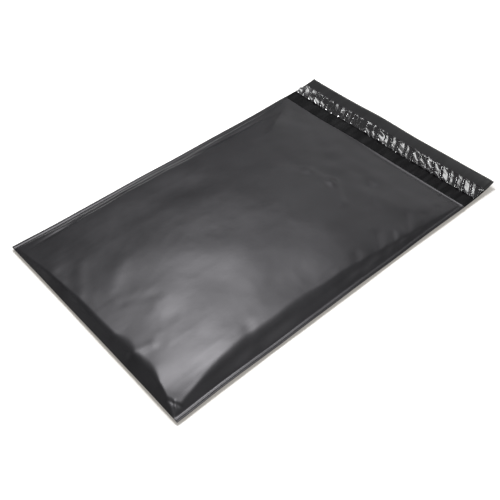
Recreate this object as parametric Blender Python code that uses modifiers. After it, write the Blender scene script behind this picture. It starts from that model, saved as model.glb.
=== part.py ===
# Poly mailer bag, lying flat, filled and not yet closed.
# One film is folded across the bottom and welded down both sides. Its back panel runs on
# past the mouth as a lip, which carries a band of adhesive under a peel-off liner.
# Metres, +Z up. The origin is under the middle of the bag, on the surface that it lies on.
# X runs across the bag, and Y runs from the bottom fold to the end of the lip.

import math

import bmesh
import bpy

# The bag as it is cut, before it is filled
POUCH_WIDTH = 0.250
POUCH_LENGTH = 0.352
LIP_LENGTH = 0.046
FILM = 0.0003
WELD_MARGIN = 0.004

# How it lies once it is filled
WELD_LIFT = 0.0035
FILL_HEIGHT = 0.0100
CROWN = 0.0030
SIDE_SLOPE = 0.0125
FOLD_SLOPE = 0.0100
MOUTH_SLOPE = 0.0800
CORNER_START = 0.50
CORNER_CLIMB_ACROSS = 0.0760
CORNER_CLIMB_ALONG = 0.2000
CORNER_SPAN = 0.0500
FAR_CORNER = 0.0650
RIM_SOFTNESS = 0.22
RIM_CREASE_DEPTH = 0.0005
RIM_CREASE_INSET = 0.0030
RIM_CREASE_WIDTH = 0.0025
BELLY_SLOPE = 0.0100
LUMP_HEIGHT = 0.0006
LUMP_PITCH = 0.0900
PUCKER_DEPTH = 0.0009
PUCKER_PITCH = 0.0300

# The mouth and the lip
MOUTH_GAP = 0.0003
LIP_RISE_LEFT = 0.0020
LIP_RISE_RIGHT = 0.0050

# What the lip carries
SEAT_GAP = 0.0003
LINER_SETBACK = 0.0156
LINER_WIDTH = 0.0166
LINER_FILM = 0.0002
LINER_END_GAP = 0.0008
ADHESIVE_INSET = 0.0020
ADHESIVE_THICKNESS = 0.0003
CRINKLE_HEIGHT = 0.0010
CRINKLE_PITCH = 0.0075
CRINKLE_SLANT = 0.0060

# How finely each stretch of the film is divided
CELLS = {
    "margin": 2,
    "slope": 5,
    "crease": 4,
    "corner": 5,
    "half across": 6,
    "middle along": 18,
    "mouth slope": 9,
    "pocket": 3,
    "lip": 7,
    "liner": (100, 5),
    "adhesive": (20, 2),
}

GREY = (0.085, 0.085, 0.090, 1.0)
BLACK = (0.012, 0.012, 0.013, 1.0)
CLEAR_OVER_BLACK = (0.060, 0.060, 0.064, 1.0)
AMBER = (0.070, 0.064, 0.052, 1.0)


def take_up(slope, height):
    """How much shorter a stretch of film looks from above once it climbs to a height."""
    return math.hypot(slope, height) - slope


HALF_WIDTH = POUCH_WIDTH / 2
WELD_INSIDE = HALF_WIDTH - WELD_MARGIN
SIDE_PULL = take_up(SIDE_SLOPE, FILL_HEIGHT / 2)
FOLD_PULL = take_up(FOLD_SLOPE, FILL_HEIGHT / 2)
END_PULL = (take_up(FOLD_SLOPE, FILL_HEIGHT) + take_up(MOUTH_SLOPE, FILL_HEIGHT)) / 2
LYING_LENGTH = POUCH_LENGTH - END_PULL
FOLD_Y = -(LYING_LENGTH + LIP_LENGTH) / 2
MOUTH_Y = FOLD_Y + LYING_LENGTH
LIP_END_Y = MOUTH_Y + LIP_LENGTH


def smooth_step(value):
    """0 below 0, 1 above 1, and a smooth climb between."""
    value = min(1.0, max(0.0, value))
    return value * value * (3 - 2 * value)


def soft_min(a, b, softness):
    """The smaller of two values, rounded off where they are nearly equal."""
    blend = max(softness - abs(a - b), 0.0) / softness
    return min(a, b) - blend * blend * softness / 4


def corner_facet(from_side, from_end, side_slope, end_slope):
    """The climb, 0 to 1, at a corner that the filling nearly reaches: a slope along each
    edge, and between them a gently rising facet that narrows towards the corner."""
    facet = from_side / CORNER_CLIMB_ACROSS + from_end / CORNER_CLIMB_ALONG + CORNER_START
    return min(from_side / side_slope, from_end / end_slope, facet)


def corner_fan(from_side, from_end, side_slope, end_slope, radius):
    """The climb, 0 to 1, of film stretched from a square corner up to a rounded rim.
    Flat slopes run along both edges, and a cone fans out of the corner between them."""
    if from_side <= 0 or from_end <= 0:
        return 0.0
    if from_end * side_slope >= from_side * (end_slope + radius):
        return from_side / side_slope
    if from_end * (side_slope + radius) <= from_side * end_slope:
        return from_end / end_slope
    to_centre = (side_slope + radius, end_slope + radius)
    aimed = from_side * to_centre[0] + from_end * to_centre[1]
    reach = to_centre[0] ** 2 + to_centre[1] ** 2 - radius**2
    inside = aimed**2 - (from_side**2 + from_end**2) * reach
    return (aimed + math.sqrt(max(inside, 0.0))) / reach


def climb(across, along, side_slope, fold_slope):
    """How far the film has climbed from its edges to the rim of the filling, 0 to 1.
    across and along are places on the flat film: from its middle, and from the fold."""
    from_side = WELD_INSIDE - abs(across)
    from_mouth = POUCH_LENGTH - along
    near = corner_facet(from_side, along, side_slope, fold_slope)
    far = corner_fan(from_side, from_mouth, side_slope, MOUTH_SLOPE, FAR_CORNER)
    return max(0.0, soft_min(min(near, far), 1.0, RIM_SOFTNESS))


def pucker(across, along, climbed):
    """Gathers that cross the slopes, deepest halfway up and towards the mouth."""
    on_slope = 4 * climbed * (1 - climbed)
    near_mouth = 0.3 + 0.7 * smooth_step(along / POUCH_LENGTH)
    turn = 2 * math.pi / PUCKER_PITCH
    wave = math.sin(turn * along + 1.3 * math.sin(0.37 * turn * along))
    wave += math.sin(0.9 * turn * across + 1.1 * math.sin(0.31 * turn * across))
    return -PUCKER_DEPTH * on_slope * near_mouth * (0.5 + 0.25 * wave)


def lump(across, along):
    """The soft unevenness of what the bag holds."""
    turn = 2 * math.pi / LUMP_PITCH
    first = math.sin(turn * (across + 0.45 * along) + 0.8)
    second = math.sin(turn * (0.62 * along - 0.5 * across) + 2.1)
    return LUMP_HEIGHT * (first + second) / 2


def crown(across, along):
    """The extra height towards the middle of the filling."""
    fill_end = POUCH_LENGTH - MOUTH_SLOPE
    middle = (FOLD_SLOPE + fill_end) / 2
    x = across / (WELD_INSIDE - SIDE_SLOPE)
    y = (along - middle) / (fill_end - middle)
    return CROWN * max(0.0, 1 - x * x) * max(0.0, 1 - y * y)


def rim_crease(across):
    """The shallow crease that runs behind the rim along the left side."""
    from_crease = across + WELD_INSIDE - SIDE_SLOPE - RIM_CREASE_INSET
    return -RIM_CREASE_DEPTH * math.exp(-((from_crease / RIM_CREASE_WIDTH) ** 2))


def front_height(across, along):
    """The outside of the front panel."""
    climbed = climb(across, along, SIDE_SLOPE, FOLD_SLOPE)
    uneven = crown(across, along) + lump(across, along) + rim_crease(across)
    bumps = smooth_step(climbed) * uneven
    welded = WELD_LIFT + MOUTH_GAP + FILM
    return welded + FILL_HEIGHT * climbed + bumps + pucker(across, along, climbed)


def back_height(across, along):
    """The outside of the back panel, down to the flat belly that the bag rests on."""
    return (WELD_LIFT - FILM) * (1 - climb(across, along, BELLY_SLOPE, BELLY_SLOPE))


def lip_height(x, y):
    """The inner face of the back panel at the mouth and along the lip, whose end curls up."""
    past = min(1.0, max(0.0, (y - MOUTH_Y) / LIP_LENGTH))
    to_right = x / POUCH_WIDTH + 0.5
    return WELD_LIFT + past**3 * (LIP_RISE_LEFT * (1 - to_right) + LIP_RISE_RIGHT * to_right)


def lying_place(across, along):
    """Where a place on the flat film comes to lie, seen from above, once the filling
    has drawn the edges in."""
    near_end = smooth_step(along / CORNER_SPAN)
    far_end = smooth_step((POUCH_LENGTH - along) / MOUTH_SLOPE)
    between_corners = smooth_step((WELD_INSIDE - abs(across)) / CORNER_SPAN)
    x = across * (1 - SIDE_PULL * near_end * far_end / HALF_WIDTH)
    drawn = FOLD_PULL * between_corners * (1 - along / POUCH_LENGTH)
    return x, FOLD_Y + along * LYING_LENGTH / POUCH_LENGTH + drawn


def stations(start, *stretches):
    """Places along a line: each stretch is its end and the number of cells up to it."""
    places = [start]
    for end, cells in stretches:
        first = places[-1]
        places += [first + (end - first) * (i + 1) / cells for i in range(cells)]
    return places


def stations_across():
    """Columns of the film, closer together over the welds and the slopes."""
    rim = WELD_INSIDE - SIDE_SLOPE
    half = stations(
        -HALF_WIDTH,
        (-WELD_INSIDE, CELLS["margin"]),
        (-rim, CELLS["slope"]),
        (-rim + 2 * RIM_CREASE_INSET, CELLS["crease"]),
        (-rim + CORNER_SPAN, CELLS["corner"]),
        (0.0, CELLS["half across"]),
    )
    return half + [-place for place in reversed(half[:-1])]


def stations_along():
    """Rows of the front panel, from the fold to the mouth."""
    return stations(
        0.0,
        (FOLD_SLOPE, CELLS["slope"]),
        (FOLD_SLOPE + CORNER_SPAN, CELLS["corner"]),
        (POUCH_LENGTH - MOUTH_SLOPE, CELLS["middle along"]),
        (POUCH_LENGTH, CELLS["mouth slope"]),
    )


def film_material(name, colour, roughness):
    material = bpy.data.materials.new(name)
    material.use_nodes = True
    shader = material.node_tree.nodes["Principled BSDF"]
    shader.inputs["Base Color"].default_value = colour
    shader.inputs["Roughness"].default_value = roughness
    shader.inputs["Metallic"].default_value = 0.0
    material.diffuse_color = colour
    return material


def add_object(name, bm, collection, materials):
    """Makes a smooth-shaded object of a bmesh, with creases where the film turns sharply."""
    mesh = bpy.data.meshes.new(name)
    bm.to_mesh(mesh)
    bm.free()
    for material in materials:
        mesh.materials.append(material)
    mesh.shade_smooth()
    mesh.set_sharp_from_angle(angle=math.radians(35))
    piece = bpy.data.objects.new(name, mesh)
    collection.objects.link(piece)
    return piece


def numbered_grid(columns, rows):
    """A flat grid whose vertices know their column and row."""
    bm = bmesh.new()
    column_of = bm.verts.layers.int.new("column")
    row_of = bm.verts.layers.int.new("row")
    bmesh.ops.create_grid(bm, x_segments=columns, y_segments=rows, size=0.5)
    for vertex in bm.verts:
        vertex[column_of] = round((vertex.co.x + 0.5) * columns)
        vertex[row_of] = round((vertex.co.y + 0.5) * rows)
    return bm, column_of, row_of


def pull_out(bm, faces):
    """Extrudes faces where they are, and gives back the new faces and vertices."""
    made = bmesh.ops.extrude_face_region(bm, geom=faces)["geom"]
    new_faces = [item for item in made if isinstance(item, bmesh.types.BMFace)]
    new_vertices = [item for item in made if isinstance(item, bmesh.types.BMVert)]
    return new_faces, new_vertices


def make_pouch(collection):
    """The film: front panel, fold, back panel, side welds, mouth and lip, in one piece.
    It is a slab whose upper face runs over the front panel, down the mouth and up the lip."""
    across = stations_across()
    along = stations_along()
    mouth_row = len(along) - 1
    slit_top_row = mouth_row + 1
    slit_foot_row = mouth_row + 2
    lip = stations(MOUTH_Y, (LIP_END_Y, CELLS["lip"]))
    bm, column_of, row_of = numbered_grid(len(across) - 1, slit_foot_row + CELLS["lip"])

    under = bm.verts[:]
    upper_faces, upper = pull_out(bm, bm.faces[:])
    for vertices, is_upper in ((under, False), (upper, True)):
        for vertex in vertices:
            s, row = across[vertex[column_of]], vertex[row_of]
            if row <= mouth_row:
                x, y = lying_place(s, along[row])
                height = front_height if is_upper else back_height
                vertex.co = (x, y, height(s, along[row]))
            elif row == slit_top_row:
                vertex.co = (s, MOUTH_Y, WELD_LIFT + (MOUTH_GAP if is_upper else -FILM))
            else:
                y = lip[row - slit_foot_row]
                vertex.co = (s, y, lip_height(s, y) - (0.0 if is_upper else FILM))

    slit = []
    for face in upper_faces:
        first_row = min(vertex[row_of] for vertex in face.verts)
        middle = sum(across[vertex[column_of]] for vertex in face.verts) / 4
        if first_row >= slit_top_row:
            face.material_index = 1
        if first_row == slit_top_row and abs(middle) < WELD_INSIDE:
            slit.append(face)

    # The slit is drawn inwards between the two panels, which part as the bag fills out.
    for row in range(mouth_row - 1, mouth_row - 1 - CELLS["pocket"], -1):
        inner, vertices = pull_out(bm, slit)
        bmesh.ops.delete(bm, geom=slit, context="FACES_ONLY")
        slit = inner
        for vertex in vertices:
            s = across[vertex[column_of]]
            x, y = lying_place(s, along[row])
            if vertex[row_of] == slit_top_row:
                vertex.co = (x, y, front_height(s, along[row]) - FILM)
            else:
                vertex.co = (x, y, back_height(s, along[row]) + FILM)

    bmesh.ops.recalc_face_normals(bm, faces=bm.faces[:])
    outside = film_material("grey_film", GREY, 0.38)
    inside = film_material("black_film", BLACK, 0.25)
    add_object("mailer_pouch", bm, collection, (outside, inside))


def make_strip(name, width, height_of, cells, thickness, material, collection):
    """A strip along the lip, centred on the liner's line, with height_of giving its foot."""
    half_length = HALF_WIDTH - LINER_END_GAP
    middle_y = MOUTH_Y + LINER_SETBACK + LINER_WIDTH / 2
    bm, column_of, row_of = numbered_grid(*cells)
    for vertex in bm.verts:
        x = half_length * (2 * vertex[column_of] / cells[0] - 1)
        from_middle = width * (vertex[row_of] / cells[1] - 0.5)
        y = middle_y + from_middle
        vertex.co = (x, y, height_of(x, y, from_middle))
    piece = add_object(name, bm, collection, (material,))
    solidify = piece.modifiers.new("Thickness", "SOLIDIFY")
    solidify.thickness = thickness
    solidify.offset = 1.0


def crinkle(x, from_middle):
    """The liner's buckles: uneven ridges that cross it at a slant and flatten at its edges."""
    turn = 2 * math.pi / CRINKLE_PITCH
    side = from_middle / (LINER_WIDTH / 2)
    slanted = x + CRINKLE_SLANT * side / 2
    wave = math.sin(turn * slanted + 1.7 * math.sin(0.23 * turn * x))
    finer = math.sin(1.83 * turn * slanted + 2.3 * math.sin(0.31 * turn * x) + 1.0)
    swell = 0.6 + 0.4 * math.sin(0.17 * turn * x + 0.9)
    ridge = max(0.0, 0.30 + 0.50 * wave + 0.20 * finer)
    return CRINKLE_HEIGHT * swell * ridge * (1 - 0.75 * side * side)


def make_adhesive(collection):
    def foot(x, y, _from_middle):
        return lip_height(x, y) + SEAT_GAP

    amber = film_material("hot_melt", AMBER, 0.30)
    width = LINER_WIDTH - 2 * ADHESIVE_INSET
    make_strip("adhesive_strip", width, foot, CELLS["adhesive"], ADHESIVE_THICKNESS, amber, collection)


def make_liner(collection):
    def foot(x, y, from_middle):
        on_adhesive = lip_height(x, y) + 2 * SEAT_GAP + ADHESIVE_THICKNESS
        return on_adhesive + crinkle(x, from_middle)

    clear = film_material("release_film", CLEAR_OVER_BLACK, 0.12)
    make_strip("release_liner", LINER_WIDTH, foot, CELLS["liner"], LINER_FILM, clear, collection)


def main():
    for old in list(bpy.data.objects):
        bpy.data.objects.remove(old, do_unlink=True)
    collection = bpy.data.collections.new("poly_mailer_bag")
    bpy.context.scene.collection.children.link(collection)
    make_pouch(collection)
    make_adhesive(collection)
    make_liner(collection)


main()
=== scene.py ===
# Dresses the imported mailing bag: its film, the adhesive band and the peel-off liner.
# Metres, +Z up. X runs across the bag, and Y from its bottom fold to the end of its lip.

import math

import bpy
import numpy as np
from mathutils import Matrix, Vector, noise


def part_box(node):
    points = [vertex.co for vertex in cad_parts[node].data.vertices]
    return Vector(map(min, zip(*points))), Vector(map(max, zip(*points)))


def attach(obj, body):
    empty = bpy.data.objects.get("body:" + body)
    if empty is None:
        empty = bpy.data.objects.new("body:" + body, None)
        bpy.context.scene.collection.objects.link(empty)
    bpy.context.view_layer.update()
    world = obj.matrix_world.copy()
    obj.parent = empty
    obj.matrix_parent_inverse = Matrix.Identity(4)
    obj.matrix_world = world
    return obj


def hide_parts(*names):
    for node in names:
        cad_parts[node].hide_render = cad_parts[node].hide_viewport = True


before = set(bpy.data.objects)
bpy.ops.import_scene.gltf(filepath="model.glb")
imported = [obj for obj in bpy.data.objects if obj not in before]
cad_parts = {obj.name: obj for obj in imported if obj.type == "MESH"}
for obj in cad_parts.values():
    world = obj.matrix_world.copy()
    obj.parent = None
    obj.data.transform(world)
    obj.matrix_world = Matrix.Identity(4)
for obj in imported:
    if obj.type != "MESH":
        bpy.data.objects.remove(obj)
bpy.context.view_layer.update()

# The bag as it was cut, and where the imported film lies
bag = {"flatWidth": 0.250, "flatLength": 0.352, "lipLength": 0.046, "weldMargin": 0.004}
pouchLow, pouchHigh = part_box("mailer_pouch")
foldY, lipEndY = pouchLow[1], pouchHigh[1]
mouthY = lipEndY - bag["lipLength"]
halfWidth = bag["flatWidth"] / 2
weldInside = halfWidth - bag["weldMargin"]
lyingLength = mouthY - foldY


class Wire:
    # One output socket, so that node maths reads as plain sums
    def __init__(self, tree, socket):
        self.tree = tree
        self.socket = socket

    def maths(self, operation, *values):
        return addNode(self.tree, "ShaderNodeMath", {"operation": operation}, dict(enumerate(values)))

    def __add__(self, other):
        return self.maths("ADD", self, other)

    def __radd__(self, other):
        return self.maths("ADD", other, self)

    def __sub__(self, other):
        return self.maths("SUBTRACT", self, other)

    def __rsub__(self, other):
        return self.maths("SUBTRACT", other, self)

    def __mul__(self, other):
        return self.maths("MULTIPLY", self, other)

    def __rmul__(self, other):
        return self.maths("MULTIPLY", other, self)

    def __truediv__(self, other):
        return self.maths("DIVIDE", self, other)

    def __pow__(self, other):
        return self.maths("POWER", self, other)

    def __abs__(self):
        return self.maths("ABSOLUTE", self)

    def most(self, other):
        return self.maths("MAXIMUM", self, other)

    def wholePart(self):
        return self.maths("FLOOR", self)

    def between(self, low, high):
        # 0 at low, 1 at high, smooth between
        settings = {"interpolation_type": "SMOOTHSTEP"}
        return addNode(self.tree, "ShaderNodeMapRange", settings, {0: self, 1: low, 2: high})


def addNode(tree, kind, settings=None, values=None, output=0):
    # Settings go first, because they can change which sockets a node has
    node = tree.nodes.new(kind)
    for name, value in (settings or {}).items():
        setattr(node, name, value)
    for key, value in (values or {}).items():
        if isinstance(value, Wire):
            tree.links.new(value.socket, node.inputs[key])
        else:
            node.inputs[key].default_value = value
    if not node.outputs:
        return node
    return Wire(tree, node.outputs[output])


def noiseAt(tree, place, scale, detail=2.0, roughness=0.5, distortion=0.0):
    values = {"Vector": place, "Scale": scale, "Detail": detail}
    values.update({"Roughness": roughness, "Distortion": distortion})
    return addNode(tree, "ShaderNodeTexNoise", None, values)


def stretched(tree, place, scale, turn=0.0):
    values = {"Vector": place, "Scale": scale, "Rotation": (0.0, 0.0, turn)}
    return addNode(tree, "ShaderNodeMapping", None, values)


def colourMix(tree, amount, first, second):
    return addNode(tree, "ShaderNodeMix", {"data_type": "RGBA"}, {0: amount, 6: first, 7: second}, 2)


def newMaterial(name, constants):
    # A Principled material: the constants sit on the shader's own sockets
    material = bpy.data.materials.new(name)
    material.use_nodes = True
    tree = material.node_tree
    shader = tree.nodes["Principled BSDF"]
    for socket, value in constants.items():
        shader.inputs[socket].default_value = value
    place = addNode(tree, "ShaderNodeTexCoord", None, None, "Object")
    return material, tree, shader, place


def drive(tree, shader, **links):
    # Links wires to the shader's sockets, named without their spaces
    for socket in shader.inputs:
        wire = links.get(socket.name.replace(" ", ""))
        if wire is not None:
            tree.links.new(wire.socket, socket)


outerFilm = {
    "dark": (0.0115, 0.0113, 0.0124, 1.0),
    "light": (0.0165, 0.0163, 0.0178, 1.0),
    "roughness": 0.45,
    "grainPitch": 0.0011,
    "grainDepth": 0.000012,
    "ripplePitch": 0.016,
    "rippleDepth": 0.00010,
}


def makeOuterFilm():
    constants = {"IOR": 1.52, "Specular IOR Level": 0.6, "Specular Tint": (0.97, 0.95, 1.0, 1.0)}
    material, tree, shader, place = newMaterial("outerFilm", constants)
    mottle = noiseAt(tree, place, 1 / 0.045, 4.0, 0.55)
    streaks = noiseAt(tree, stretched(tree, place, (1 / 0.004, 1 / 0.12, 1 / 0.03)), 1.0, 3.0)
    grain = noiseAt(tree, place, 1 / outerFilm["grainPitch"], 2.0, 0.6)
    ripple = noiseAt(tree, place, 1 / outerFilm["ripplePitch"], 2.0, 0.4, 0.4)
    colour = colourMix(tree, mottle.between(0.3, 0.7), outerFilm["dark"], outerFilm["light"])
    roughness = outerFilm["roughness"] + (mottle - 0.5) * 0.14 + (streaks - 0.5) * 0.06
    height = grain * outerFilm["grainDepth"] + ripple * outerFilm["rippleDepth"]
    bump = addNode(tree, "ShaderNodeBump", None, {"Strength": 1.0, "Distance": 1.0, "Height": height})
    drive(tree, shader, BaseColor=colour, Roughness=roughness, Normal=bump)
    return material


innerFilm = {
    "colour": (0.0060, 0.0060, 0.0065, 1.0),
    "hazed": (0.0160, 0.0160, 0.0168, 1.0),
    "rubbed": (0.0240, 0.0240, 0.0250, 1.0),
    "rubbedFrom": 0.0325,
    "roughness": 0.09,
    "ripplePitch": 0.010,
    "rippleDepth": 0.00012,
}


def makeInnerFilm():
    material, tree, shader, place = newMaterial("innerFilm", {"IOR": 1.5})
    haze = noiseAt(tree, stretched(tree, place, (1 / 0.006, 1 / 0.03, 1 / 0.03), 0.6), 1.0, 4.0, 0.6)
    ripple = noiseAt(tree, place, 1 / innerFilm["ripplePitch"], 2.0, 0.5, 0.6)
    parts = tree.nodes.new("ShaderNodeSeparateXYZ")
    tree.links.new(place.socket, parts.inputs[0])
    # Past the liner the lip's inner face is painted lighter and made rougher: the lighter colour is a painted
    # sheen for that band's brighter reflection
    pastLiner = (Wire(tree, parts.outputs["Y"]) - (mouthY + innerFilm["rubbedFrom"])).between(0.0, 0.001)
    colour = colourMix(tree, haze.between(0.35, 0.75), innerFilm["colour"], innerFilm["hazed"])
    colour = colourMix(tree, pastLiner * (0.4 + 0.6 * haze), colour, innerFilm["rubbed"])
    roughness = innerFilm["roughness"] + haze * 0.06 + pastLiner * 0.20
    height = ripple * innerFilm["rippleDepth"]
    bump = addNode(tree, "ShaderNodeBump", None, {"Strength": 1.0, "Distance": 1.0, "Height": height})
    drive(tree, shader, BaseColor=colour, Roughness=roughness, Normal=bump)
    return material


# How the film lies over what it holds: lengths in metres, and climbs as shares of the fill's height
lying = {
    "weldLift": 0.0035,
    "fill": 0.0088,
    "crown": 0.0042,
    "sideSlope": 0.0112,
    "foldSlope": 0.0082,
    "foldSlopeGain": 0.018,
    "foldPull": 0.0003,
    "mouthSlope": 0.0800,
    "cornerStart": 0.17,
    "cornerAcross": 0.0490,
    "leftStart": 0.10,
    "leftAcross": 0.1150,
    "cornerAlong": 0.0750,
    "tipAcross": 0.0360,
    "tipAlong": 0.0400,
    "cornerSpan": 0.0500,
    "farCorner": 0.0650,
    "foldRim": 0.26,
    "sideRim": 0.62,
    "edgeBlend": 0.06,
    "facetBlend": 0.12,
    "rimWander": 0.10,
    "bellySlope": 0.0100,
    "lump": 0.0009,
    "dent": 0.00050,
    "fineFolds": 0.00010,
    "puckers": 0.0009,
    "film": 0.00013,
    "bead": 0.00026,
    "beadInset": 0.0020,
    "beadWidth": 0.0005,
    "leftCurl": 0.0006,
    "rightDroop": 0.0005,
    "mouthCurl": 0.0014,
    "mouthCurlReach": 0.0016,
    "rimCrease": 0.00075,
    "rimCreaseInset": 0.0012,
    "rimCreaseWidth": 0.0018,
    "lipRise": (0.0034, 0.0054),
}

# Arcs that bow the fold's rim inwards: middle across, half width, how far in
scallops = [(0.042, 0.013, 0.0030), (0.073, 0.018, 0.0022)]

# Creases and dents of the front: from and to as (across, along), width, height
frontCreases = [
    ((-0.027, 0.012), (-0.055, 0.032), 0.0060, 0.00034),
    ((-0.060, 0.014), (-0.054, 0.017), 0.0060, -0.00045),
    ((-0.012, 0.036), (-0.032, 0.062), 0.0080, 0.00030),
    ((0.008, 0.034), (0.022, 0.060), 0.0050, -0.00026),
    ((0.055, 0.010), (0.060, 0.026), 0.0040, 0.00034),
    ((0.1075, 0.0055), (0.1185, 0.0100), 0.0015, -0.00050),
    ((0.1232, 0.0012), (0.1120, 0.0085), 0.0012, 0.00060),
    ((0.100, 0.095), (0.114, 0.088), 0.0060, -0.00050),
    ((-0.034, 0.252), (-0.010, 0.274), 0.0055, 0.00080),
    ((-0.010, 0.274), (0.018, 0.279), 0.0055, 0.00100),
    ((0.018, 0.279), (0.046, 0.264), 0.0055, 0.00110),
    ((0.028, 0.312), (0.048, 0.304), 0.0070, -0.00060),
    ((0.048, 0.304), (0.066, 0.282), 0.0070, -0.00080),
    ((0.120, 0.208), (0.104, 0.222), 0.0050, -0.00060),
    ((0.121, 0.234), (0.098, 0.256), 0.0054, -0.00090),
    ((0.121, 0.254), (0.106, 0.270), 0.0038, -0.00060),
    ((0.121, 0.272), (0.098, 0.298), 0.0050, -0.00090),
    ((0.121, 0.294), (0.108, 0.312), 0.0042, -0.00060),
    ((0.122, 0.312), (0.110, 0.330), 0.0042, -0.00060),
    ((-0.100, 0.318), (-0.085, 0.290), 0.0060, 0.00040),
    ((-0.114, 0.340), (-0.105, 0.318), 0.0040, -0.00030),
]


def smoothStep(value):
    value = np.clip(value, 0.0, 1.0)
    return value * value * (3 - 2 * value)


def softMin(a, b, softness):
    blend = np.maximum(softness - np.abs(a - b), 0.0) / softness
    return np.minimum(a, b) - blend * blend * softness / 4


def softNoise(x, y, pitch, seed, stretch=(1.0, 1.0)):
    # Smooth seeded noise from about -1 to 1 over the flat film
    u, v = x / pitch / stretch[0], y / pitch / stretch[1]
    flat = [noise.noise(Vector((a, b, seed * 7.31))) for a, b in zip(u.ravel(), v.ravel())]
    return np.array(flat).reshape(u.shape) * 1.6


def cornerFan(fromSide, fromEnd, sideSlope, endSlope, radius):
    # Film stretched from a square corner up to a rounded rim: a cone fans out between flat slopes
    fromSide, fromEnd = np.maximum(fromSide, 0.0), np.maximum(fromEnd, 0.0)
    toX, toY = sideSlope + radius, endSlope + radius
    aimed = fromSide * toX + fromEnd * toY
    reach = toX**2 + toY**2 - radius**2
    inside = aimed**2 - (fromSide**2 + fromEnd**2) * reach
    cone = (aimed + np.sqrt(np.maximum(inside, 0.0))) / reach
    besideSide = fromEnd * sideSlope >= fromSide * toY
    besideEnd = fromSide * endSlope >= fromEnd * toX
    return np.where(besideSide, fromSide / sideSlope, np.where(besideEnd, fromEnd / endSlope, cone))


def cornerFacet(onLeft, fromSide, fromFold, sideSlope, foldSlope):
    # A corner that the filling nearly reaches: a gently rising facet between two slopes
    start = np.where(onLeft, lying["leftStart"], lying["cornerStart"])
    run = np.where(onLeft, lying["leftAcross"], lying["cornerAcross"])
    facet = start + fromSide / run + fromFold / lying["cornerAlong"]
    tip = fromSide / lying["tipAcross"] + fromFold / lying["tipAlong"]
    sides = softMin(fromSide / sideSlope, fromFold / foldSlope, lying["edgeBlend"])
    return softMin(sides, np.minimum(facet, tip), lying["facetBlend"])


def climbed(across, along, sideSlope, foldSlope, rim):
    fromSide = weldInside - np.abs(across)
    fromMouth = bag["flatLength"] - along
    near = cornerFacet(across < 0, fromSide, along, sideSlope, foldSlope)
    far = cornerFan(fromSide, fromMouth, sideSlope, lying["mouthSlope"], lying["farCorner"])
    return np.maximum(softMin(np.minimum(near, far), 1.0, rim), 0.0)


def foldSlopeAt(across):
    slope = lying["foldSlope"] + lying["foldSlopeGain"] * np.abs(across)
    for middle, half, depth in scallops:
        slope = slope + depth * np.maximum(1 - ((across - middle) / half) ** 2, 0.0)
    return slope


def creaseField(across, along, creases):
    # Rounded ridges (or valleys, where the height is negative) along straight stretches
    total = np.zeros_like(across)
    for (x0, y0), (x1, y1), width, height in creases:
        length = math.hypot(x1 - x0, y1 - y0)
        share = ((across - x0) * (x1 - x0) + (along - y0) * (y1 - y0)) / length**2
        share = np.clip(share, 0.0, 1.0)
        away = np.hypot(across - x0 - share * (x1 - x0), along - y0 - share * (y1 - y0))
        total += height * np.exp(-((away / width) ** 2))
    return total


def frontShape(across, along):
    wander = 1 + lying["rimWander"] * softNoise(across, along, 0.035, 1)
    nearFold = 1 - smoothStep(along / 0.030)
    rim = lying["sideRim"] + (lying["foldRim"] - lying["sideRim"]) * nearFold
    foldSlope = foldSlopeAt(across) * (1 + 0.5 * (wander - 1))
    climb = climbed(across, along, lying["sideSlope"] * wander, foldSlope, rim)
    fillEnd = bag["flatLength"] - lying["mouthSlope"]
    middle = (lying["foldSlope"] + fillEnd) / 2
    crownX = np.maximum(1 - (across / (weldInside - lying["sideSlope"])) ** 2, 0.0)
    crownY = np.maximum(1 - ((along - middle) / (fillEnd - middle)) ** 2, 0.0)
    onTop = smoothStep(climb)
    top = onTop * lying["crown"] * crownX * crownY
    top += onTop * lying["lump"] * softNoise(across, along, 0.075, 2)
    top += smoothStep(climb * 1.2) * lying["dent"] * softNoise(across, along, 0.028, 3, (1.0, 1.5))
    folds = softNoise(across, along, 0.014, 7, (1.0, 1.3))
    top += smoothStep(climb * 1.5) * lying["fineFolds"] * (0.35 - np.abs(folds))
    fromCrease = across + weldInside - lying["sideSlope"] - lying["rimCreaseInset"]
    creaseShare = smoothStep((along - 0.004) / 0.040)
    creaseShare *= smoothStep((bag["flatLength"] - 0.030 - along) / 0.040)
    top -= lying["rimCrease"] * creaseShare * np.exp(-((fromCrease / lying["rimCreaseWidth"]) ** 2))
    onSlope = 4 * climb * (1 - np.minimum(climb, 1.0))
    nearMouth = 0.3 + 0.7 * smoothStep(along / bag["flatLength"])
    top -= lying["puckers"] * onSlope * nearMouth * (0.5 + 0.5 * softNoise(across, along, 0.018, 4))
    top += smoothStep(climb * 2.5) * creaseField(across, along, frontCreases)
    return lying["fill"] * climb + top


def backShape(across, along):
    slope = lying["bellySlope"]
    return climbed(across, along, slope, slope, 0.30)


def lipShape(x, y):
    past = np.clip((y - mouthY) / bag["lipLength"], 0.0, 1.0)
    toRight = x / bag["flatWidth"] + 0.5
    left, right = lying["lipRise"]
    wave = 0.0005 * softNoise(x, y, 0.045, 5) * past
    return past**3 * (left * (1 - toRight) + right * toRight) + wave


def pullOf(slope, height):
    return math.hypot(slope, height) - slope


def lyingPlace(across, along):
    # The filling draws the welds and the fold in between the corners
    sidePull = pullOf(lying["sideSlope"], lying["fill"] / 2)
    nearEnd = smoothStep(along / lying["cornerSpan"])
    farEnd = smoothStep((bag["flatLength"] - along) / lying["mouthSlope"])
    between = smoothStep((weldInside - np.abs(across)) / lying["cornerSpan"])
    x = across * (1 - sidePull * nearEnd * farEnd / halfWidth)
    drawn = lying["foldPull"] * between * (1 - along / bag["flatLength"])
    return x, foldY + along * lyingLength / bag["flatLength"] + drawn


def spaced(start, end, step):
    count = max(1, round(abs(end - start) / step))
    return [start + (end - start) * i / count for i in range(count)]


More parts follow.
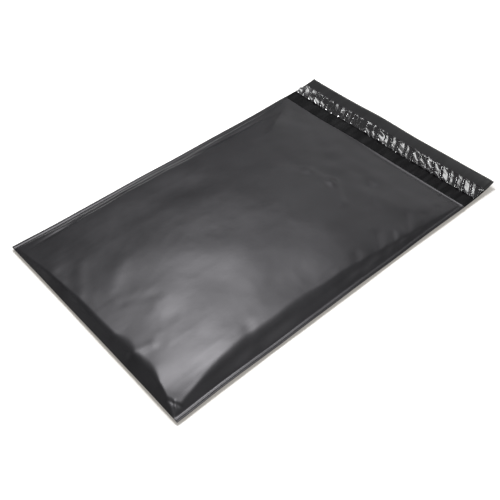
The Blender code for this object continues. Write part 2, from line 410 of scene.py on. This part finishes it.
def filmColumns():
    margin = bag["weldMargin"]
    half = spaced(-halfWidth, -halfWidth + margin, margin / 10)
    half += spaced(-weldInside, -weldInside + 0.0240, 0.0010)
    half += spaced(-weldInside + 0.0240, 0.0, 0.0020)
    return np.array(half + [0.0] + [-place for place in reversed(half)])


def filmRows(step):
    # Places along one panel, from the fold to the mouth
    long = bag["flatLength"]
    rows = spaced(0.0, 0.0160, 0.0008) + spaced(0.0160, 0.0600, min(step, 0.0020))
    rows += spaced(0.0600, long - 0.0040, step)
    return np.array(rows + spaced(long - 0.0040, long, 0.0008) + [long])


def panelPlace(columns, rows):
    across, along = np.meshgrid(columns, rows)
    x, y = lyingPlace(across, along)
    fromEdge = halfWidth - np.abs(across)
    bead = lying["bead"] * np.exp(-(((fromEdge - lying["beadInset"]) / lying["beadWidth"]) ** 2))
    outward = np.maximum(1 - fromEdge / bag["weldMargin"], 0.0)
    curl = lying["leftCurl"] * outward * (across < 0)
    droop = lying["rightDroop"] * outward**2 * (across > 0)
    base = lying["weldLift"] + curl - droop + 0.0005 * softNoise(across, along, 0.050, 6)
    return across, along, x, y, base, bead


def frontPanel(columns):
    across, along, x, y, base, bead = panelPlace(columns, filmRows(0.0025))
    seat = 2 * lying["film"] + 0.00002
    fromMouth = bag["flatLength"] - along
    reach = np.exp(-fromMouth / lying["mouthCurlReach"])
    curl = lying["mouthCurl"] * reach * smoothStep(across / halfWidth + 0.6)
    return np.stack([x, y, base + seat + frontShape(across, along) + bead + curl], axis=-1)


def backPanel(columns):
    across, along, x, y, base, bead = panelPlace(columns, filmRows(0.0040))
    return np.stack([x, y, np.maximum(base * (1 - backShape(across, along)) - bead, 0.0)], axis=-1)


def filmSurface():
    # The outer face of the one blank: front panel from the mouth down, fold, back panel, lip
    columns = filmColumns()
    front, back = frontPanel(columns), backPanel(columns)
    nose = (front[0] + back[0]) / 2 - np.array([0.0, 0.0002, 0.0])
    lipRows = np.array(spaced(0.0, bag["lipLength"], 0.0020)[1:] + [bag["lipLength"]])
    lipX, lipY = np.meshgrid(columns, mouthY + lipRows)
    lip = np.stack([lipX, lipY, back[-1, :, 2] + lipShape(lipX, lipY)], axis=-1)
    return np.concatenate([front[::-1], nose[None], back, lip]), columns


def gridMesh(name, points, materials, u, v):
    # A sheet of quads through a grid of points, with its flat places as its UV map
    rows, cells = points.shape[0], points.shape[1]
    index = np.arange(rows * cells).reshape(rows, cells)
    quads = np.stack([index[:-1, :-1], index[1:, :-1], index[1:, 1:], index[:-1, 1:]], axis=-1)
    mesh = bpy.data.meshes.new(name)
    mesh.from_pydata(points.reshape(-1, 3).tolist(), [], quads.reshape(-1, 4).tolist())
    layer = mesh.uv_layers.new(name="flat")
    loops = np.array([loop.vertex_index for loop in mesh.loops])
    flat = np.stack([np.tile(u, rows), np.repeat(v, cells)], axis=-1)
    layer.data.foreach_set("uv", flat[loops].ravel())
    for material in materials:
        mesh.materials.append(material)
    mesh.shade_smooth()
    piece = bpy.data.objects.new(name, mesh)
    bpy.context.scene.collection.objects.link(piece)
    return piece


def applyModifiers(piece):
    # Turns what the modifiers make into a plain mesh
    graph = bpy.context.evaluated_depsgraph_get()
    mesh = bpy.data.meshes.new_from_object(piece.evaluated_get(graph), depsgraph=graph)
    piece.modifiers.clear()
    piece.data = mesh


def makeFilm():
    points, columns = filmSurface()
    rowShare = np.linspace(0.0, 1.0, points.shape[0])
    columnShare = columns / bag["flatWidth"] + 0.5
    materials = [makeOuterFilm(), makeInnerFilm()]
    piece = gridMesh("mailerFilm", points, materials, columnShare, rowShare)
    wall = piece.modifiers.new("wall", "SOLIDIFY")
    wall.thickness = lying["film"]
    wall.offset = -1.0
    wall.material_offset = 1
    applyModifiers(piece)
    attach(piece, "root")
    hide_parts("mailer_pouch")
    print("film made,", len(piece.data.polygons), "faces")
    return piece


# slack: how much longer and wider each strip is cut than it lies, taken up by its buckles
adhesive = {
    "width": 0.0126,
    "film": 0.00010,
    "seat": 0.00004,
    "height": 0.00006,
    "pitch": 0.0050,
    "slack": (1.0, 1.0),
}

liner = {
    "width": 0.0166,
    "setback": 0.0156,
    "endGap": 0.0008,
    "film": 0.00006,
    "seat": 0.00030,
    "height": 0.0044,
    "pitch": 0.0150,
    "slant": 1.60,
    "cell": 0.00040,
    "seed": 3.0,
    "slack": (1.10, 1.05),
}


def stripInputs(film, settings, material):
    # What both strips on the lip share: they are centred on one line and end at one place
    return {
        "Film": film,
        "Length": bag["flatWidth"] - 2 * liner["endGap"],
        "Width": settings["width"],
        "Middle": mouthY + liner["setback"] + liner["width"] / 2,
        "Cell": liner["cell"],
        "Seat": settings["seat"],
        "Height": settings["height"],
        "Pitch": settings["pitch"],
        "Slant": liner["slant"],
        "Seed": liner["seed"],
        "Material": material,
    }, settings["slack"]


def cellNoise(tree, cell, seed, slip):
    place = addNode(tree, "ShaderNodeCombineXYZ", None, {0: cell, 1: seed, 2: slip})
    return addNode(tree, "ShaderNodeTexWhiteNoise", None, {"Vector": place})


def buckles(tree, u, seed, slip, fall):
    # Each buckle falls slowly from its crest at one slope, lies flat, and springs up to the next
    first = u.wholePart()
    share = u - first
    crests = [0.25 + 0.75 * cellNoise(tree, first + step, seed, slip) for step in (0.0, 1.0)]
    down = crests[0] - share * fall
    up = crests[1] * (share - 0.78) / 0.22
    return down.most(up).most(0.0)


def makeStripTree():
    # A grid is dropped on the lip, then raised into slanting buckles with nearly flat facets
    tree = bpy.data.node_groups.new("crinkledStrip", "GeometryNodeTree")
    tree.interface.new_socket(name="Geometry", in_out="OUTPUT", socket_type="NodeSocketGeometry")
    kinds = {"Film": "NodeSocketObject", "Material": "NodeSocketMaterial"}
    names = ["Film", "Length", "Width", "Middle", "Cell", "Seat"]
    names += ["Height", "Pitch", "Slant", "Seed", "Material"]
    identifiers = {}
    for name in names:
        kind = kinds.get(name, "NodeSocketFloat")
        socket = tree.interface.new_socket(name=name, in_out="INPUT", socket_type=kind)
        identifiers[name] = socket.identifier
    inputs = tree.nodes.new("NodeGroupInput")
    take = {name: Wire(tree, inputs.outputs[name]) for name in names}
    grid = addNode(tree, "GeometryNodeMeshGrid", None, {
        "Size X": take["Length"], "Size Y": take["Width"],
        "Vertices X": take["Length"] / take["Cell"], "Vertices Y": take["Width"] / take["Cell"]})
    parts = tree.nodes.new("ShaderNodeSeparateXYZ")
    tree.links.new(addNode(tree, "GeometryNodeInputPosition").socket, parts.inputs[0])
    x, y = (Wire(tree, parts.outputs[axis]) for axis in "XY")
    side = y / (take["Width"] * 0.5)
    pitch, seed = take["Pitch"], take["Seed"]
    driftAt = {0: x / pitch * 0.30, 1: side * 0.4, 2: seed}
    driftPlace = addNode(tree, "ShaderNodeCombineXYZ", None, driftAt)
    drift = noiseAt(tree, driftPlace, 1.0, 1.0)
    broad = buckles(tree, (y + take["Slant"] * x) / pitch + drift * 1.1, seed, 1.0, 1.15)
    cross = buckles(tree, (x - 0.5 * y) / (pitch * 1.3) - drift * 2.0, seed, 2.0, 1.6)
    fine = buckles(tree, (x + 0.35 * y) / (pitch * 0.43) + drift * 3.0, seed, 3.0, 1.3)
    swellAt = {0: x / pitch * 0.20, 1: side * 0.3, 2: seed + 9.0}
    swellPlace = addNode(tree, "ShaderNodeCombineXYZ", None, swellAt)
    swell = noiseAt(tree, swellPlace, 1.0, 1.0).between(0.34, 0.56)
    ridge = broad * (0.50 + 0.50 * swell) + cross * 0.06 + fine * 0.015
    held = 1.0 - abs(side).between(0.75, 1.10) * 0.6
    lift = ridge * held * take["Height"]
    inRelation = {"transform_space": "RELATIVE"}
    target = addNode(tree, "GeometryNodeObjectInfo", inRelation, {"Object": take["Film"]}, "Geometry")
    above = addNode(tree, "ShaderNodeCombineXYZ", None, {0: x, 1: y + take["Middle"], 2: 0.05})
    cast = {"Target Geometry": target, "Source Position": above}
    cast.update({"Ray Direction": (0.0, 0.0, -1.0), "Ray Length": 0.1})
    hit = addNode(tree, "GeometryNodeRaycast", None, cast, "Hit Position")
    raised = addNode(tree, "ShaderNodeCombineXYZ", None, {2: take["Seat"] + lift})
    onLip = addNode(tree, "ShaderNodeVectorMath", {"operation": "ADD"}, {0: hit, 1: raised})
    moved = addNode(tree, "GeometryNodeSetPosition", None, {"Geometry": grid, "Position": onLip})
    real = addNode(tree, "GeometryNodeRealizeInstances", None, {"Geometry": moved})
    dressed = addNode(tree, "GeometryNodeSetMaterial", None, {"Geometry": real, "Material": take["Material"]})
    tree.links.new(dressed.socket, tree.nodes.new("NodeGroupOutput").inputs[0])
    return tree, identifiers


def makeStrip(name, values, slack, thickness, node):
    tree, identifiers = makeStripTree()
    piece = bpy.data.objects.new(name, bpy.data.meshes.new(name))
    bpy.context.scene.collection.objects.link(piece)
    grow = piece.modifiers.new("crinkledStrip", "NODES")
    grow.node_group = tree
    for socket, value in values.items():
        grow[identifiers[socket]] = value
    wall = piece.modifiers.new("wall", "SOLIDIFY")
    wall.thickness = thickness
    wall.offset = 1.0
    applyModifiers(piece)
    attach(piece, "root")
    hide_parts(node)
    values["Length"] * slack[0]
    values["Width"] * slack[1]
    print(name, "made,", len(piece.data.polygons), "faces")
    return piece


linerFilm = {
    "clear": (0.008, 0.008, 0.009, 1.0),
    "hazy": (0.110, 0.110, 0.115, 1.0),
    "roughness": 0.12,
    "hazyEnd": -0.085,
    "finePitch": 0.0016,
    "fineDepth": 0.000003,
}


def makeLinerFilm():
    constants = {"IOR": 1.8, "Specular IOR Level": 1.0, "Coat Weight": 1.0, "Coat Roughness": 0.05}
    material, tree, shader, place = newMaterial("linerFilm", constants)
    parts = tree.nodes.new("ShaderNodeSeparateXYZ")
    tree.links.new(place.socket, parts.inputs[0])
    # Blotches and the left end are painted grey: partly the film's haze, partly a painted grey reflection of
    # the flat liner
    atEnd = (linerFilm["hazyEnd"] - Wire(tree, parts.outputs["X"])).between(0.0, 0.035)
    haze = noiseAt(tree, stretched(tree, place, (1 / 0.006, 1 / 0.010, 1 / 0.009), 0.3), 1.0, 3.0, 0.6)
    hazeAndSheenShare = (haze + atEnd * 0.22).between(0.60, 0.84)
    colour = colourMix(tree, hazeAndSheenShare, linerFilm["clear"], linerFilm["hazy"])
    fine = noiseAt(tree, place, 1 / linerFilm["finePitch"], 2.0, 0.5, 0.8)
    height = fine * linerFilm["fineDepth"]
    bump = addNode(tree, "ShaderNodeBump", None, {"Strength": 1.0, "Distance": 1.0, "Height": height})
    roughness = linerFilm["roughness"] + haze * 0.10
    drive(tree, shader, BaseColor=colour, Roughness=roughness, Normal=bump)
    return material


def makeAdhesiveGlue():
    material, tree, shader, place = newMaterial("hotMelt", {"IOR": 1.48})
    streaks = noiseAt(tree, stretched(tree, place, (1 / 0.040, 1 / 0.0015, 1 / 0.01)), 1.0, 3.0)
    colour = colourMix(tree, streaks, (0.022, 0.019, 0.015, 1.0), (0.045, 0.040, 0.031, 1.0))
    drive(tree, shader, BaseColor=colour, Roughness=0.22 + streaks * 0.15)
    return material


def makeStrips(film):
    glue, slack = stripInputs(film, adhesive, makeAdhesiveGlue())
    makeStrip("adhesiveBand", glue, slack, adhesive["film"], "adhesive_strip")
    cover, slack = stripInputs(film, liner, makeLinerFilm())
    makeStrip("linerStrip", cover, slack, liner["film"], "release_liner")


# Each light: its place, where it aims, its size and its power
lights = {
    "high": ((-0.200, 0.026, 0.902), (0.060, -0.120, 0.0), (0.21, 0.21), 3.87),
    "middle": ((-0.235, 0.100, 0.680), (0.060, -0.120, 0.0), (0.18, 0.18), 1.60),
    "low": ((-0.030, -0.075, 0.450), (0.060, -0.120, 0.0), (0.15, 0.15), 0.90),
    "back": ((-0.250, 1.150, 0.520), (0.0, 0.16, 0.0), (1.40, 0.16), 2.1),
    "side": ((1.300, 0.600, 0.500), (0.05, 0.0, 0.0), (0.90, 0.40), 3.2),
}

# The floor glows where the camera sees it, and near the bag both its colour and its glow are darkened into a
# painted contact shadow
studio = {
    "world": 0.10,
    "floorGlow": 0.80,
    "glossyShare": 0.25,
    "contactReach": 0.090,
    "shadePower": 1.8,
    "contactPower": 10.0,
    "contactColour": (0.42, 0.395, 0.36, 1.0),
    "contactGlow": (0.38, 0.36, 0.33, 1.0),
    "cameraPlace": (0.39324, -0.34922, 0.50297),
    "cameraAim": (0.02493, -0.03545, 0.0),
    "cameraRoll": -1.643,
    "lens": 54.335,
}


def aimed(place, target, roll=0.0):
    back = (Vector(place) - Vector(target)).normalized()
    right = Vector((0.0, 0.0, 1.0)).cross(back).normalized()
    up = back.cross(right)
    turn = Matrix((right, up, back)).transposed() @ Matrix.Rotation(math.radians(roll), 3, "Z")
    return Matrix.Translation(place) @ turn.to_4x4()


def addLight(name):
    light = bpy.data.lights.new(name, "AREA")
    light.shape = "RECTANGLE"
    place, target, (light.size, light.size_y), light.energy = lights[name]
    lamp = bpy.data.objects.new(name + "Light", light)
    lamp.matrix_world = aimed(place, target)
    bpy.context.scene.collection.objects.link(lamp)


def makeFloor():
    material = bpy.data.materials.new("paleFloor")
    material.use_nodes = True
    tree = material.node_tree
    tree.nodes.clear()
    reach = {"Distance": studio["contactReach"]}
    # Ambient occlusion darkens the floor's colour and glow near the bag: a painted contact shadow
    openness = addNode(tree, "ShaderNodeAmbientOcclusion", {"samples": 8}, reach, "AO")
    shade = colourMix(tree, openness ** studio["shadePower"], studio["contactColour"], (0.9, 0.9, 0.9, 1.0))
    white = addNode(tree, "ShaderNodeBsdfDiffuse", None, {"Color": shade})
    shone = colourMix(tree, openness ** studio["contactPower"], studio["contactGlow"], (1.0, 1.0, 1.0, 1.0))
    shine = {"Color": shone, "Strength": studio["floorGlow"]}
    glow = addNode(tree, "ShaderNodeEmission", None, shine)
    both = addNode(tree, "ShaderNodeAddShader", None, {0: white, 1: glow})
    path = tree.nodes.new("ShaderNodeLightPath")
    camera = Wire(tree, path.outputs["Is Camera Ray"])
    glossy = Wire(tree, path.outputs["Is Glossy Ray"])
    seen = camera.most(glossy * studio["glossyShare"])
    choice = addNode(tree, "ShaderNodeMixShader", None, {0: seen, 1: white, 2: both})
    addNode(tree, "ShaderNodeOutputMaterial", None, {"Surface": choice})
    bpy.ops.mesh.primitive_plane_add(size=30.0)
    floor = bpy.context.object
    floor.name = "paleFloor"
    floor.data.materials.append(material)


def makeWorld():
    world = bpy.data.worlds.new("studio")
    world.use_nodes = True
    tree = world.node_tree
    tree.nodes.clear()
    path = tree.nodes.new("ShaderNodeLightPath")
    seen = Wire(tree, path.outputs["Is Camera Ray"])
    strength = studio["world"] + seen * (1.0 - studio["world"])
    shine = {"Color": (1.0, 1.0, 1.0, 1.0), "Strength": strength}
    sky = addNode(tree, "ShaderNodeBackground", None, shine)
    addNode(tree, "ShaderNodeOutputWorld", None, {"Surface": sky})
    bpy.context.scene.world = world


def makeStudio():
    makeFloor()
    makeWorld()
    for name in lights:
        addLight(name)
    lens = bpy.data.cameras.new("camera")
    lens.lens = studio["lens"]
    camera = bpy.data.objects.new("camera", lens)
    camera.matrix_world = aimed(studio["cameraPlace"], studio["cameraAim"], studio["cameraRoll"])
    bpy.context.scene.collection.objects.link(camera)
    bpy.context.scene.camera = camera
    bpy.context.scene.view_settings.view_transform = "Standard"
    print("studio made")


film = makeFilm()
makeStrips(film)
makeStudio()
